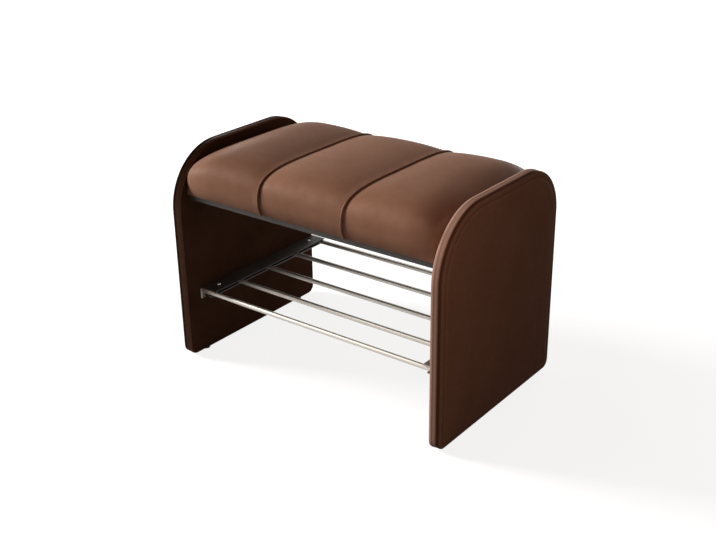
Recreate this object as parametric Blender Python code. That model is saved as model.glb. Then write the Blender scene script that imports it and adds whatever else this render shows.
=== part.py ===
"""Shoe bench with padded side panels, a seat of three crowned segments and a shelf of steel tubes.

Metres, +Z up. The origin is on the floor under the middle of the bench, -Y is its front and +X its right.
"""
import math

import bmesh
import bpy
from mathutils import Matrix, Vector

# Whole bench
LENGTH = 0.650               # over both side panels
DEPTH = 0.402                # side panels, front to back
HEIGHT = 0.450               # floor to the top of the side panels
FIT = 0.0003                 # gap between faces that touch

# Side panels, layer by layer from the inner face outwards
LINING_THICK = 0.0015
CORE_THICK = 0.015
SIDE_FOAM_THICK = 0.006
SIDE_COVER_THICK = 0.0015
EDGE_BAND_THICK = 0.002
EDGE_BAND_ROUND = 0.001      # chamfer of the band's two edges
FRONT_RADIUS = 0.126         # top corner at the front
REAR_RADIUS = 0.106          # top corner at the back
FOOT_RADIUS = 0.018          # both bottom corners
SEAM_DEPTH = 0.002           # groove between edge band and outer cover
PILOT_FLOOR = 0.003          # board left beyond the tip of a screw
GLIDE_HEIGHT = 0.003
GLIDE_RADIUS = 0.009
GLIDE_INSET = 0.050          # from a panel's front or back edge
GLIDE_SPIGOT_RADIUS = 0.003
GLIDE_SPIGOT_LENGTH = 0.016

# Seat
SEAT_TOP_DROP = 0.0085       # tops of the seams below the top of the side panels
SEAT_RISE = 0.0825           # lower edge of the seat covers to the top of a seam
SEAT_SETBACK = 0.0170        # seams behind the panels' front edge, and before their back edge
SEAT_TUCK = 0.004            # how far a seam draws in to its lower edge
SEAT_END_CLEARANCE = 0.001   # to each side panel
SEAM_GAP = 0.0006            # between two segments
CROWN = 0.008                # middle of a segment above its seams
CROWN_POWER = 4.0            # how late the crown falls to a seam
FRONT_SWELL = 0.005          # middle of a segment in front of its seams
END_DROP = 0.022             # how far an end segment rolls down to its panel
END_TUCK = 0.009             # how far its front rolls back there
END_POWER = 3.0              # how late it rolls
TOP_POWER = 5.0              # flatness of the seat's front and back
DEPTH_POWER = 4.2            # flatness of the seat's top
TUCK_HEIGHT = 0.028          # height over which the cover draws in to the board's edge
SEAT_COVER_THICK = 0.0015
BOARD_THICK = 0.012
DUST_COVER_THICK = 0.0008
DUST_COVER_INSET = 0.008     # from the lower edges of the covers
PIPING_RADIUS = 0.0022

# Seat frame of flat steel tube
RAIL_WIDTH = 0.025
RAIL_HEIGHT = 0.012
RAIL_WALL = 0.0012
RAIL_SETBACK = 0.006         # behind the lower edge of the seat covers
FRAME_SCREW_INSET = 0.050    # from the ends of an end rail
FRAME_SCREW_RADIUS = 0.003
FRAME_SCREW_HEAD_RADIUS = 0.005
FRAME_SCREW_HEAD_HEIGHT = 0.0035
SCREW_RADIUS = 0.002
SCREW_HEAD_RADIUS = 0.004
SCREW_HEAD_HEIGHT = 0.0024

# Shoe shelf
SHELF_HEIGHT = 0.140         # floor to the tubes' axes
TUBE_RADIUS = 0.005
TUBE_WALL = 0.001
TUBE_COUNT = 5
FRONT_TUBE_SETBACK = 0.0440  # from the panels' front edge to the first tube
FRONT_TUBE_GAP = 0.079       # from the first tube to the second
REAR_TUBE_SETBACK = 0.0090   # from the panels' back edge to the last tube
BRACKET_THICK = 0.002
BRACKET_WIDTH = 0.040
BRACKET_DROP = 0.024
BRACKET_END = 0.002          # past the first and last tubes
BRACKET_SCREW_RISE = 0.006   # above the bracket's lower edge
SHELF_SCREW_SETBACK = 0.028  # screws of bracket and clamp bar, from the first and last tubes
CLAMP_MARGIN = 0.010         # bracket past each edge of the clamp bar
CLAMP_THICK = 0.003
CLAMP_SCREW_END = 0.002      # clamp screws past the tapped clamp bar

# Facets
SMOOTH_DEGREES = 40          # flatter edges are shaded smooth
CORNER_STEPS = 10            # top corners of a panel
FOOT_STEPS = 4
SHOULDER_STEPS = 3
ROUND_SIDES = 8
TUBE_SIDES = 16
ARCH_STEPS = 24              # seat segment, front to back
TURN_WEIGHT = 0.1            # length of outline that counts like a turn of one radian
CROWN_STEPS = 10             # seat segment, along its length
FINE_STEPS = 200             # points that half an arch is measured on
CUT_PAST = 0.005             # cutters run this far past what they open

# Places that follow from the sizes
SIDE_THICK = LINING_THICK + CORE_THICK + SIDE_FOAM_THICK + SIDE_COVER_THICK + 3 * FIT
INNER_X = LENGTH / 2 - SIDE_THICK
CORE_START = LINING_THICK + FIT
CORE_END = CORE_START + CORE_THICK
COVER_START = CORE_END + FIT
SHOULDER_START = COVER_START + SEAM_DEPTH
SHOULDER_RADIUS = SIDE_THICK - SHOULDER_START
CORE_INSET = EDGE_BAND_THICK + FIT

SEAT_UNDERSIDE = HEIGHT - SEAT_TOP_DROP - SEAT_RISE
SEAT_BASE_DEPTH = DEPTH - 2 * SEAT_SETBACK - 2 * SEAT_TUCK
SEAT_HALF_LENGTH = INNER_X - SEAT_END_CLEARANCE
SEGMENT_WORDS = ("left", "centre", "right")
SEAT_SEGMENTS = len(SEGMENT_WORDS)
SEGMENT_PITCH = 2 * SEAT_HALF_LENGTH / SEAT_SEGMENTS
SEGMENT_HALF_LENGTH = (SEGMENT_PITCH - SEAM_GAP) / 2
BOARD_TOP = SEAT_UNDERSIDE + BOARD_THICK
FOAM_BOTTOM = BOARD_TOP + FIT
DUST_COVER_TOP = SEAT_UNDERSIDE - FIT
RAIL_TOP = DUST_COVER_TOP - DUST_COVER_THICK - FIT
RAIL_BOTTOM = RAIL_TOP - RAIL_HEIGHT
RAIL_FRONT = SEAT_BASE_DEPTH / 2 - RAIL_SETBACK
RAIL_MIDDLE = RAIL_FRONT - RAIL_WIDTH / 2
RAIL_BACK = RAIL_FRONT - RAIL_WIDTH
END_RAIL_REACH = RAIL_BACK - FIT

BRACKET_X = INNER_X - FIT
BRACKET_FACE = BRACKET_X - BRACKET_THICK
BRACKET_UNDER = SHELF_HEIGHT + TUBE_RADIUS + FIT
BRACKET_TOP = BRACKET_UNDER + BRACKET_THICK
BRACKET_BOTTOM = BRACKET_TOP - BRACKET_DROP
CLAMP_TOP = SHELF_HEIGHT - TUBE_RADIUS - FIT
CLAMP_BOTTOM = CLAMP_TOP - CLAMP_THICK
CLAMP_X = BRACKET_X - BRACKET_WIDTH / 2
CLAMP_WIDTH = BRACKET_WIDTH - 2 * CLAMP_MARGIN
FIRST_TUBE_Y = FRONT_TUBE_SETBACK - DEPTH / 2
SECOND_TUBE_Y = FIRST_TUBE_Y + FRONT_TUBE_GAP
TUBE_PITCH = (DEPTH / 2 - REAR_TUBE_SETBACK - SECOND_TUBE_Y) / (TUBE_COUNT - 2)
TUBE_Y = [FIRST_TUBE_Y] + [SECOND_TUBE_Y + TUBE_PITCH * i for i in range(TUBE_COUNT - 1)]
SHELF_SCREW_Y = [TUBE_Y[0] + SHELF_SCREW_SETBACK, TUBE_Y[-1] - SHELF_SCREW_SETBACK]

FRAME_TO_CORE = 2 * FIT + RAIL_WIDTH + CORE_START     # frame screw's head to the core board
FRAME_SCREW_LENGTH = FRAME_TO_CORE + CORE_THICK - PILOT_FLOOR
BRACKET_TO_CORE = 2 * FIT + BRACKET_THICK + CORE_START
BRACKET_SCREW_LENGTH = BRACKET_TO_CORE + CORE_THICK - PILOT_FLOOR
SEAT_SCREW_LENGTH = BOARD_TOP - PILOT_FLOOR - RAIL_BOTTOM + FIT
CLAMP_SCREW_LENGTH = BRACKET_TOP + FIT - CLAMP_BOTTOM + CLAMP_SCREW_END
SIDES = {"left": -1, "right": 1}
ENDS = {"front": -1, "rear": 1}

# Colour, roughness and metallic value of each finish
FINISHES = {
    "leather": ("#6b4a3a", 0.45, 0.0),
    "lining": ("#4a3024", 0.50, 0.0),
    "foam": ("#d8d2b4", 0.95, 0.0),
    "plywood": ("#b9925f", 0.60, 0.0),
    "non_woven": ("#1d1b1a", 0.95, 0.0),
    "gunmetal": ("#4a4542", 0.38, 0.8),
    "bright_steel": ("#c9c4bd", 0.18, 1.0),
    "zinc": ("#a9a8a4", 0.35, 1.0),
    "nylon": ("#201f1e", 0.55, 0.0),
}


def linear(value):
    """One sRGB channel, 0 to 1, as linear light."""
    return value / 12.92 if value <= 0.04045 else ((value + 0.055) / 1.055) ** 2.4


def make_object(name, bm, finish, parent):
    """Turns a bmesh into a named object with its own material."""
    bmesh.ops.recalc_face_normals(bm, faces=bm.faces[:])
    mesh = bpy.data.meshes.new(name)
    bm.to_mesh(mesh)
    bm.free()
    mesh.shade_smooth()
    mesh.set_sharp_from_angle(angle=math.radians(SMOOTH_DEGREES))
    return place_object(bpy.data.objects.new(name, mesh), finish, parent)


def place_object(obj, finish, parent):
    """Links an object under its parent and gives it a material of its own."""
    colour, roughness, metallic = FINISHES[finish]
    material = bpy.data.materials.new(f"{obj.name}_{finish}")
    material.use_nodes = True
    shader = material.node_tree.nodes["Principled BSDF"]
    channels = [linear(int(colour[i:i + 2], 16) / 255) for i in (1, 3, 5)]
    shader.inputs["Base Color"].default_value = (*channels, 1.0)
    shader.inputs["Roughness"].default_value = roughness
    shader.inputs["Metallic"].default_value = metallic
    obj.data.materials.append(material)
    obj.parent = parent
    bpy.context.collection.objects.link(obj)
    return obj


def make_group(name, parent=None):
    """An empty that holds the pieces of one sub-assembly."""
    group = bpy.data.objects.new(name, None)
    group.parent = parent
    bpy.context.collection.objects.link(group)
    return group


def bridge(bm, near, far, closed):
    """Triangles between two rows of vertices, split alike so that nested skins keep their gap."""
    for i in range(0 if closed else 1, len(near)):
        bm.faces.new((near[i - 1], near[i], far[i]))
        bm.faces.new((near[i - 1], far[i], far[i - 1]))


def add_skin(bm, loops, closed=False):
    """Bridges a row of point loops. The ends are capped, or joined to each other if closed."""
    rings = [[bm.verts.new(point) for point in loop] for loop in loops]
    for near, far in zip(rings, rings[1:]):
        bridge(bm, near, far, closed=True)
    if closed:
        bridge(bm, rings[-1], rings[0], closed=True)
    else:
        bm.faces.new(rings[0])
        bm.faces.new(rings[-1])


def skinned(name, loops, finish, parent, closed=False):
    """An object made of one skin."""
    bm = bmesh.new()
    add_skin(bm, loops, closed)
    return make_object(name, bm, finish, parent)


def box_loops(low, high):
    """The two end loops, along X, of a box between two corners."""
    (x0, y0, z0), (x1, y1, z1) = low, high
    corners = [(y0, z0), (y1, z0), (y1, z1), (y0, z1)]
    return [[(x, y, z) for y, z in corners] for x in (x0, x1)]


def turned_loops(profile, place, sides=ROUND_SIDES):
    """Loops of a solid turned from (radius, height) points, with its Z axis moved to place."""
    loops = []
    for radius, height in profile:
        turns = [2 * math.pi * (k + 0.5) / sides for k in range(sides)]
        loop = [Vector((radius * math.cos(t), radius * math.sin(t), height)) for t in turns]
        loops.append([place @ point for point in loop])
    return loops


def pointing(place, direction):
    """A matrix that moves the Z axis to a place and turns it to a direction."""
    return Matrix.Translation(place) @ Vector(direction).to_track_quat("Z", "Y").to_matrix().to_4x4()


def turned(name, profile, place, finish, parent, sides=ROUND_SIDES, closed=False):
    """An object turned from (radius, height) points."""
    return skinned(name, turned_loops(profile, place, sides), finish, parent, closed)


def screw_profile(shank_radius, length, head_radius, head_height):
    """A screw whose head sits above height 0 and whose shank runs down from it."""
    return [(shank_radius, -length), (shank_radius, 0), (head_radius, 0), (head_radius, head_height)]


def cut(target, loop_sets):
    """Cuts closed shapes, each given by its loops, out of an object."""
    bm = bmesh.new()
    for loops in loop_sets:
        add_skin(bm, loops)
    bmesh.ops.recalc_face_normals(bm, faces=bm.faces[:])
    mesh = bpy.data.meshes.new(f"{target.name}_cutter")
    bm.to_mesh(mesh)
    bm.free()
    cutter = bpy.data.objects.new(mesh.name, mesh)
    cutter.parent = target.parent
    cutter.hide_render = True
    cutter.display_type = "WIRE"
    bpy.context.collection.objects.link(cutter)
    boolean = target.modifiers.new("cut", "BOOLEAN")
    boolean.operation = "DIFFERENCE"
    boolean.solver = "EXACT"
    boolean.object = cutter


def holes(places, radius, start, end):
    """Loops of round cutters along the Z axes of places, one for each."""
    return [turned_loops([(radius, start), (radius, end)], place) for place in places]


def panel_outline(inset):
    """Points (y, z) around a side panel, drawn in by an inset."""
    half = DEPTH / 2
    corners = [
        (half, GLIDE_HEIGHT, FOOT_RADIUS, 270, FOOT_STEPS),
        (half, HEIGHT, REAR_RADIUS, 0, CORNER_STEPS),
        (-half, HEIGHT, FRONT_RADIUS, 90, CORNER_STEPS),
        (-half, GLIDE_HEIGHT, FOOT_RADIUS, 180, FOOT_STEPS),
    ]
    points = []
    for y, z, radius, start, steps in corners:
        centre_y = y - math.copysign(radius, y)
        centre_z = z - radius if z == HEIGHT else z + radius
        for step in range(steps + 1):
            turn = math.radians(start + 90 * step / steps)
            reach = radius - inset
            points.append((centre_y + reach * math.cos(turn), centre_z + reach * math.sin(turn)))
    return points


def panel_loops(side, rows):
    """Loops of a panel layer from (inset, distance from the inner face) rows."""
    return [[(side * (INNER_X + away), y, z) for y, z in panel_outline(inset)] for inset, away in rows]


def padding_rows(inset):
    """Rows over the padding, drawn in by an inset: out of the seam groove, then a round shoulder."""
    rows = [(SEAM_DEPTH + inset, COVER_START)]
    reach = SHOULDER_RADIUS - inset
    for step in range(SHOULDER_STEPS + 1):
        turn = math.pi / 2 * step / SHOULDER_STEPS
        rows.append((SHOULDER_RADIUS - reach * math.cos(turn), SHOULDER_START + reach * math.sin(turn)))
    return rows


def frame_screw_places(side):
    """Frame screws, front and rear: heads on the end rail's inboard face, pointing inboard."""
    x = side * (INNER_X - FIT - RAIL_WIDTH - FIT)
    y = END_RAIL_REACH - FRAME_SCREW_INSET
    z = RAIL_BOTTOM + RAIL_HEIGHT / 2
    return [pointing((x, end * y, z), (-side, 0, 0)) for end in ENDS.values()]


def bracket_screw_places(side):
    """Bracket screws, front and rear: heads on the bracket's inboard face, pointing inboard."""
    x = side * (BRACKET_FACE - FIT)
    z = BRACKET_BOTTOM + BRACKET_SCREW_RISE
    return [pointing((x, y, z), (-side, 0, 0)) for y in SHELF_SCREW_Y]


def clamp_screw_places(side):
    """Clamp screws, front and rear: heads on top of the bracket, pointing up."""
    return [pointing((side * CLAMP_X, y, BRACKET_TOP + FIT), (0, 0, 1)) for y in SHELF_SCREW_Y]


def seat_screw_places(index):
    """Seat screws of one segment, front and rear: heads under the rails, pointing down."""
    x = segment_middle(index)
    return [pointing((x, end * RAIL_MIDDLE, RAIL_BOTTOM - FIT), (0, 0, -1)) for end in ENDS.values()]


def glide_places(side):
    """Glides, front and rear: on the floor under the middle of the core board."""
    x = side * (INNER_X + CORE_START + CORE_THICK / 2)
    y = DEPTH / 2 - GLIDE_INSET
    return [Matrix.Translation((x, end * y, 0)) for end in ENDS.values()]


def make_pair(stem, profile, places, finish, group):
    """A front and a rear fastener of the same kind."""
    for end, place in zip(ENDS, places):
        turned(f"{stem}_{end}", profile, place, finish, group)


def make_side_panel(word, side, bench):
    """Core board, lining, edge band, foam and outer cover of one side panel."""
    group = make_group(f"side_panel_{word}", bench)
    frame_screws = frame_screw_places(side)
    bracket_screws = bracket_screw_places(side)
    glides = glide_places(side)

    core_rows = [(CORE_INSET, CORE_START), (CORE_INSET, CORE_END)]
    core = skinned(f"side_core_{word}", panel_loops(side, core_rows), "plywood", group)
    spigot_end = GLIDE_HEIGHT + GLIDE_SPIGOT_LENGTH
    spigots = holes(glides, GLIDE_SPIGOT_RADIUS + FIT, -CUT_PAST, spigot_end)
    pilots = holes(frame_screws, FRAME_SCREW_RADIUS + FIT, -FRAME_SCREW_LENGTH - FIT, 0)
    pilots += holes(bracket_screws, SCREW_RADIUS + FIT, -BRACKET_SCREW_LENGTH - FIT, 0)
    cut(core, spigots + pilots)

    lining_rows = [(CORE_INSET, 0), (CORE_INSET, LINING_THICK)]
    lining = skinned(f"side_lining_{word}", panel_loops(side, lining_rows), "lining", group)
    cut(lining, pilots)

    chamfer = min(EDGE_BAND_ROUND, EDGE_BAND_THICK / 2)
    band_rows = [(chamfer, 0), (0, chamfer), (0, CORE_END - chamfer), (chamfer, CORE_END)]
    band_rows += [(EDGE_BAND_THICK, CORE_END), (EDGE_BAND_THICK, 0)]
    band = skinned(f"side_edge_band_{word}", panel_loops(side, band_rows), "leather", group, closed=True)
    cut(band, spigots)

    foam_rows = padding_rows(SIDE_COVER_THICK + FIT)
    skinned(f"side_foam_{word}", panel_loops(side, foam_rows), "foam", group)
    cover_rows = padding_rows(SIDE_COVER_THICK)[::-1] + padding_rows(0)
    skinned(f"side_cover_{word}", panel_loops(side, cover_rows), "leather", group)

    glide = [
        (GLIDE_RADIUS, 0), (GLIDE_RADIUS, GLIDE_HEIGHT - FIT), (GLIDE_SPIGOT_RADIUS, GLIDE_HEIGHT - FIT),
        (GLIDE_SPIGOT_RADIUS, spigot_end - FIT),
    ]
    make_pair(f"floor_glide_{word}", glide, glides, "nylon", group)


def seat_point(share, rise, swell, inset):
    """A point (y, z) of the seat's front outline, from its lower edge at share 0 to its top at share 1."""
    turn = math.pi / 2 * share ** (TOP_POWER / 2)
    z = SEAT_UNDERSIDE + (SEAT_RISE + rise - inset) * math.sin(turn) ** (2 / TOP_POWER)
    blend = min(max(z - FOAM_BOTTOM, 0) / TUCK_HEIGHT, 1)
    reach = SEAT_BASE_DEPTH / 2 - inset + (SEAT_TUCK + swell) * blend * blend * (3 - 2 * blend)
    return -reach * max(math.cos(turn), 0) ** (2 / DEPTH_POWER), z


def arch_shares():
    """Shares of the outline at which an arch has its points: close together where the seat is round."""
    fine = [step / FINE_STEPS for step in range(FINE_STEPS + 1)]
    points = [(share, Vector(seat_point(share, 0, 0, 0))) for share in fine]
    points = [(share, point) for share, point in points if point.y > FOAM_BOTTOM]
    efforts = [0.0]
    for (_, before), (_, here), (_, after) in zip(points, points[1:], points[2:]):
        turn = (here - before).angle(after - here)
        efforts.append(efforts[-1] + (here - before).length + turn * TURN_WEIGHT)
    shares = []
    for step in range(ARCH_STEPS // 2):
        goal = efforts[-1] * step / (ARCH_STEPS // 2)
        index = next(i for i, effort in enumerate(efforts) if effort >= goal)
        shares.append(points[index][0])
    return shares + [1.0]


def seat_arch(rise, swell, inset):
    """Points (y, z) of the seat's outline above its board, from the front over the top to the back."""
    front = [seat_point(share, rise, swell, inset) for share in arch_shares()]
    front[0] = (inset - SEAT_BASE_DEPTH / 2, FOAM_BOTTOM)
    back = [(-y, z) for y, z in reversed(front[:-1])]
    return front + back


def skirted(arch):
    """An arch with straight skirts added, down over the board's edges."""
    (front, _), (back, _) = arch[0], arch[-1]
    return [(front, SEAT_UNDERSIDE)] + arch + [(back, SEAT_UNDERSIDE)]


def segment_middle(index):
    """Where along X the middle of a seat segment lies."""
    return (index - (SEAT_SEGMENTS - 1) / 2) * SEGMENT_PITCH


def seat_loops(index, inset, skirts):
    """Arches along one seat segment, from its left end to its right end."""
    half_length = SEGMENT_HALF_LENGTH - inset
    loops = []
    for step in range(CROWN_STEPS + 1):
        along = -math.cos(math.pi * step / CROWN_STEPS)
        fall = abs(along) ** CROWN_POWER
        rise = CROWN * (1 - fall)
        swell = FRONT_SWELL * (1 - fall)
        at_left_end = index == 0 and along < 0
        at_right_end = index == SEAT_SEGMENTS - 1 and along > 0
        if at_left_end or at_right_end:
            roll = abs(along) ** END_POWER
            rise -= END_DROP * roll
            swell -= END_TUCK * roll
        arch = seat_arch(rise, swell, inset)
        if skirts:
            arch = skirted(arch)
        x = segment_middle(index) + along * half_length
        loops.append([(x, y, z) for y, z in arch])
    return loops


def shell(name, outer, inner, finish, parent):
    """A cover that is open underneath, between outer and inner arches of equal count."""
    bm = bmesh.new()
    skins = [[[bm.verts.new(point) for point in arch] for arch in arches] for arches in (outer, inner)]
    for arches in skins:
        for near, far in zip(arches, arches[1:]):
            bridge(bm, near, far, closed=False)
        bm.faces.new(arches[0])
        bm.faces.new(arches[-1])
    rims = [[arch[0] for arch in arches] + [arch[-1] for arch in arches[::-1]] for arches in skins]
    bridge(bm, rims[0], rims[1], closed=True)
    return make_object(name, bm, finish, parent)


def make_seat(bench):
    """Boards, foam cores, leather covers, piping and dust cover."""
    group = make_group("seat", bench)
    all_holes = []
    board_half_length = SEGMENT_HALF_LENGTH - SEAT_COVER_THICK - FIT
    board_half_depth = SEAT_BASE_DEPTH / 2 - SEAT_COVER_THICK - FIT
    for index, word in enumerate(SEGMENT_WORDS):
        middle = segment_middle(index)
        low = (middle - board_half_length, -board_half_depth, SEAT_UNDERSIDE)
        high = (middle + board_half_length, board_half_depth, BOARD_TOP)
        board = skinned(f"seat_board_{word}", box_loops(low, high), "plywood", group)
        screws = seat_screw_places(index)
        screw_holes = holes(screws, SCREW_RADIUS + FIT, -SEAT_SCREW_LENGTH - FIT, 0)
        cut(board, screw_holes)
        all_holes += screw_holes
        screw = screw_profile(SCREW_RADIUS, SEAT_SCREW_LENGTH, SCREW_HEAD_RADIUS, SCREW_HEAD_HEIGHT)
        make_pair(f"seat_screw_{word}", screw, screws, "zinc", group)
        filling = seat_loops(index, SEAT_COVER_THICK + FIT, skirts=False)
        skinned(f"seat_foam_{word}", filling, "foam", group)
        outer = seat_loops(index, 0, skirts=True)
        inner = seat_loops(index, SEAT_COVER_THICK, skirts=True)
        shell(f"seat_cover_{word}", outer, inner, "leather", group)

    half_length = SEAT_HALF_LENGTH - DUST_COVER_INSET
    half_depth = SEAT_BASE_DEPTH / 2 - DUST_COVER_INSET
    low = (-half_length, -half_depth, DUST_COVER_TOP - DUST_COVER_THICK)
    high = (half_length, half_depth, DUST_COVER_TOP)
    dust_cover = skinned("seat_dust_cover", box_loops(low, high), "non_woven", group)
    cut(dust_cover, all_holes)

    for word, side in SIDES.items():
        make_piping(f"seat_piping_{word}", side * SEGMENT_PITCH / 2, group)


def make_piping(name, x, group):
    """A piping cord that lies on a seam from the lower front edge to the lower back edge."""
    arch = skirted(seat_arch(0, 0, -PIPING_RADIUS - FIT))
    curve = bpy.data.curves.new(name, "CURVE")
    curve.dimensions = "3D"
    curve.bevel_depth = PIPING_RADIUS
    curve.bevel_resolution = 2
    curve.use_fill_caps = True
    spline = curve.splines.new("POLY")
    spline.points.add(len(arch) - 1)
    for point, (y, z) in zip(spline.points, arch):
        point.co = (x, y, z, 1)
    place_object(bpy.data.objects.new(name, curve), "leather", group)


def rail(name, low, high, along, group):
    """A flat steel tube between two corners, open at its ends along X or Y."""
    low, high = Vector(low), Vector(high)
    wall = Vector((RAIL_WALL, RAIL_WALL, RAIL_WALL))
    wall["xy".index(along)] = 0
    outer = end_loops(low, high, along)
    inner = end_loops(low + wall, high - wall, along)
    return skinned(name, [outer[0], outer[1], inner[1], inner[0]], "gunmetal", group, closed=True)


def end_loops(low, high, along):
    """The two end loops of a box along X or Y."""
    if along == "x":
        return box_loops(low, high)
    corners = [(low.x, low.z), (high.x, low.z), (high.x, high.z), (low.x, high.z)]
    return [[(x, y, z) for x, z in corners] for y in (low.y, high.y)]


def cross_tube(name, middle, group):
    """A rail between the front and rear rails, centred at a place along X."""
    low = (middle - RAIL_WIDTH / 2, -END_RAIL_REACH, RAIL_BOTTOM)
    high = (middle + RAIL_WIDTH / 2, END_RAIL_REACH, RAIL_TOP)
    return rail(name, low, high, "y", group)


def make_seat_frame(bench):
    """Front, rear, end and cross rails, and the screws that hold them to the side panels."""
    group = make_group("seat_frame", bench)
    half_length = INNER_X - FIT
    seat_screws = [place for index in range(SEAT_SEGMENTS) for place in seat_screw_places(index)]
    seat_holes = holes(seat_screws, SCREW_RADIUS + FIT, -RAIL_HEIGHT - CUT_PAST, CUT_PAST)
    for word, end in ENDS.items():
        near, far = sorted((end * RAIL_BACK, end * RAIL_FRONT))
        low = (-half_length, near, RAIL_BOTTOM)
        high = (half_length, far, RAIL_TOP)
        cut(rail(f"seat_{word}_rail", low, high, "x", group), seat_holes)

    screw = screw_profile(
        FRAME_SCREW_RADIUS, FRAME_SCREW_LENGTH, FRAME_SCREW_HEAD_RADIUS, FRAME_SCREW_HEAD_HEIGHT)
    for word, side in SIDES.items():
        screws = frame_screw_places(side)
        end_rail = cross_tube(f"seat_end_rail_{word}", side * (half_length - RAIL_WIDTH / 2), group)
        cut(end_rail, holes(screws, FRAME_SCREW_RADIUS + FIT, -RAIL_WIDTH - CUT_PAST, CUT_PAST))
        make_pair(f"frame_screw_{word}", screw, screws, "zinc", group)
        cross_tube(f"seat_cross_rail_{word}", side * SEGMENT_PITCH / 2, group)


def make_shelf(bench):
    """Angle brackets, clamp bars and their screws, and the tubes between them."""
    group = make_group("shelf", bench)
    front = TUBE_Y[0] - TUBE_RADIUS
    back = TUBE_Y[-1] + TUBE_RADIUS
    inboard = BRACKET_X - BRACKET_WIDTH
    angle = [(BRACKET_X, BRACKET_BOTTOM), (BRACKET_X, BRACKET_TOP), (inboard, BRACKET_TOP),
             (inboard, BRACKET_UNDER), (BRACKET_FACE, BRACKET_UNDER), (BRACKET_FACE, BRACKET_BOTTOM)]
    clamp_screw = screw_profile(SCREW_RADIUS, CLAMP_SCREW_LENGTH, SCREW_HEAD_RADIUS, SCREW_HEAD_HEIGHT)
    bracket_screw = screw_profile(SCREW_RADIUS, BRACKET_SCREW_LENGTH, SCREW_HEAD_RADIUS, SCREW_HEAD_HEIGHT)
    for word, side in SIDES.items():
        clamp_places = clamp_screw_places(side)
        clamp_holes = holes(clamp_places, SCREW_RADIUS + FIT, -CLAMP_SCREW_LENGTH, CUT_PAST)
        fixing_places = bracket_screw_places(side)
        fixing_holes = holes(fixing_places, SCREW_RADIUS + FIT, -BRACKET_THICK - CUT_PAST, CUT_PAST)
        loops = [[(side * x, y, z) for x, z in angle] for y in (front - BRACKET_END, back + BRACKET_END)]
        cut(skinned(f"shelf_bracket_{word}", loops, "gunmetal", group), clamp_holes + fixing_holes)

        low = (side * CLAMP_X - CLAMP_WIDTH / 2, front, CLAMP_BOTTOM)
        high = (side * CLAMP_X + CLAMP_WIDTH / 2, back, CLAMP_TOP)
        cut(skinned(f"shelf_clamp_{word}", box_loops(low, high), "gunmetal", group), clamp_holes)
        make_pair(f"clamp_screw_{word}", clamp_screw, clamp_places, "bright_steel", group)
        make_pair(f"bracket_screw_{word}", bracket_screw, fixing_places, "zinc", group)

    half_length = BRACKET_FACE - FIT
    bore = TUBE_RADIUS - TUBE_WALL
    tube = [(TUBE_RADIUS, -half_length), (TUBE_RADIUS, half_length)]
    tube += [(bore, half_length), (bore, -half_length)]
    for number, y in enumerate(TUBE_Y, 1):
        place = pointing((0, y, SHELF_HEIGHT), (1, 0, 0))
        turned(f"shelf_tube_{number}", tube, place, "bright_steel", group, TUBE_SIDES, closed=True)


def main():
    for obj in list(bpy.data.objects):
        bpy.data.objects.remove(obj, do_unlink=True)
    bench = make_group("shoe_bench")
    for word, side in SIDES.items():
        make_side_panel(word, side, bench)
    make_seat(bench)
    make_seat_frame(bench)
    make_shelf(bench)


main()
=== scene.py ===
"""Looks of the shoe bench: sewn leather cushions, padded side panels, plated tubes and their finishes.

Metres, +Z up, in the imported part's own frame: -Y is the bench's front and +X its right-hand end.
"""
import math
from bisect import bisect_right

import bmesh
import bpy
from mathutils import Matrix, Vector, noise


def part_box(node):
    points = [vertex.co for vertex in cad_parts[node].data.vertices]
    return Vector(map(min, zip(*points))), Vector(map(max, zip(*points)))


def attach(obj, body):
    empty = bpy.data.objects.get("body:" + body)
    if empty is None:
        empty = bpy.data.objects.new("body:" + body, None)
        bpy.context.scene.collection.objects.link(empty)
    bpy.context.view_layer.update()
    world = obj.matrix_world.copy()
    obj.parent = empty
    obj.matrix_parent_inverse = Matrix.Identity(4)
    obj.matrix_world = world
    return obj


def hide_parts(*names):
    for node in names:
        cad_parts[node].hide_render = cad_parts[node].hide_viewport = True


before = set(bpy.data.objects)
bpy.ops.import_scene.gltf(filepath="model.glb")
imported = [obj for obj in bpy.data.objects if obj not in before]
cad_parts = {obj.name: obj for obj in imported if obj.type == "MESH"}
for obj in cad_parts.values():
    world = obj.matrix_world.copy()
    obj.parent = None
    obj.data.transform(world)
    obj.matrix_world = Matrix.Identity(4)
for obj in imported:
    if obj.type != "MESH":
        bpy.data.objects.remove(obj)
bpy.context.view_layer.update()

# Camera of the photograph, fitted to the panels' corners
CAMERA_AZIMUTH = 37.83       # degrees to the right of the front
CAMERA_ELEVATION = 23.99
CAMERA_ROLL = -0.88
CAMERA_DISTANCE = 2.2189
CAMERA_TARGET = Vector((-0.010, 0.0, 0.2039))
CAMERA_LENS = 55.17          # mm
SENSOR_WIDTH = 36.0          # mm

# Side panels
SIDES = {"left": -1, "right": 1}
RIM_LOW, RIM_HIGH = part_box("side_edge_band_right")
PAD_LOW, PAD_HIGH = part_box("side_cover_right")
FRONT_RADIUS = 0.126         # top corner at the front
REAR_RADIUS = 0.106          # top corner at the back
FOOT_RADIUS = 0.018          # both bottom corners
BAND_THICK = 0.0020          # leather band around the rim
BAND_CROWN = 0.0004          # its middle above its edges
BAND_INNER_ROUND = 0.0026    # width of its round edge at the lining
BAND_SEAM_ROUND = 0.0095     # width of its round edge at the pad's seam
BAND_FALL = 0.0019           # how far both round edges fall
BAND_STEPS = 5               # steps over each round edge, and rows over the crown
PAD_SETBACK = 0.0006         # the pad's edge inside the band's rim
PAD_ROLL = 0.0034            # round of the leather out of its seam
PAD_SHOULDER = 0.022         # over which the pad still rises a little
PAD_DOME = 0.0016            # how much it rises there
PAD_SWELL = 0.0010           # most that the filling adds
CHANNEL_INSET = 0.0110       # sewn channel around the pad, from the rim
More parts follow.
